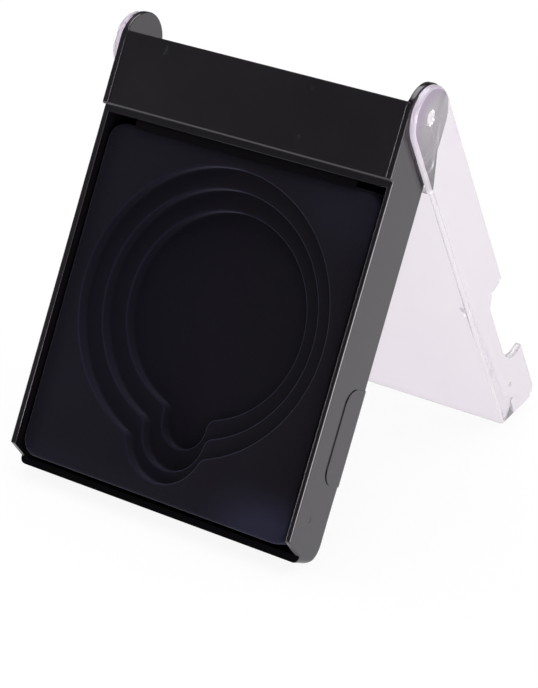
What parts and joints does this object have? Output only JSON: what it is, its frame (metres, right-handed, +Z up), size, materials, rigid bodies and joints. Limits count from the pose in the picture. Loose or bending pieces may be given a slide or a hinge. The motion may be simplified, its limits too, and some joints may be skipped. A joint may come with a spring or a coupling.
{
  "type": "medal case",
  "caption": "Black medal case with a stepped flocked recess and a clear hinged lid that folds right round behind it to make a desk stand.",
  "frame": {"origin": "on the surface it stands on, at the middle of the standing case's outline", "axes": "+X to the right as seen from the front, +Y to the back where the folded lid stands, +Z up"},
  "size_m": [0.089, 0.1098, 0.1067],
  "materials": {
    "black_moulding": "moulded black polystyrene, satin with faint scuffs",
    "navy_flock": "very dark navy flock on a formed plastic sheet",
    "clear_moulding": "clear polystyrene, polished"
  },
  "bodies": {
    "case": {"tray": "black_moulding", "medal_insert": "navy_flock"},
    "lid": {"lid": "clear_moulding"}
  },
  "joints": [
    {"name": "lid_hinge", "type": "hinge", "parent": "case", "child": "lid", "pos_m": [0, 0, 0.09862], "axis": [1, 0, 0], "range_deg": [-3, 305.5]}
  ]
}
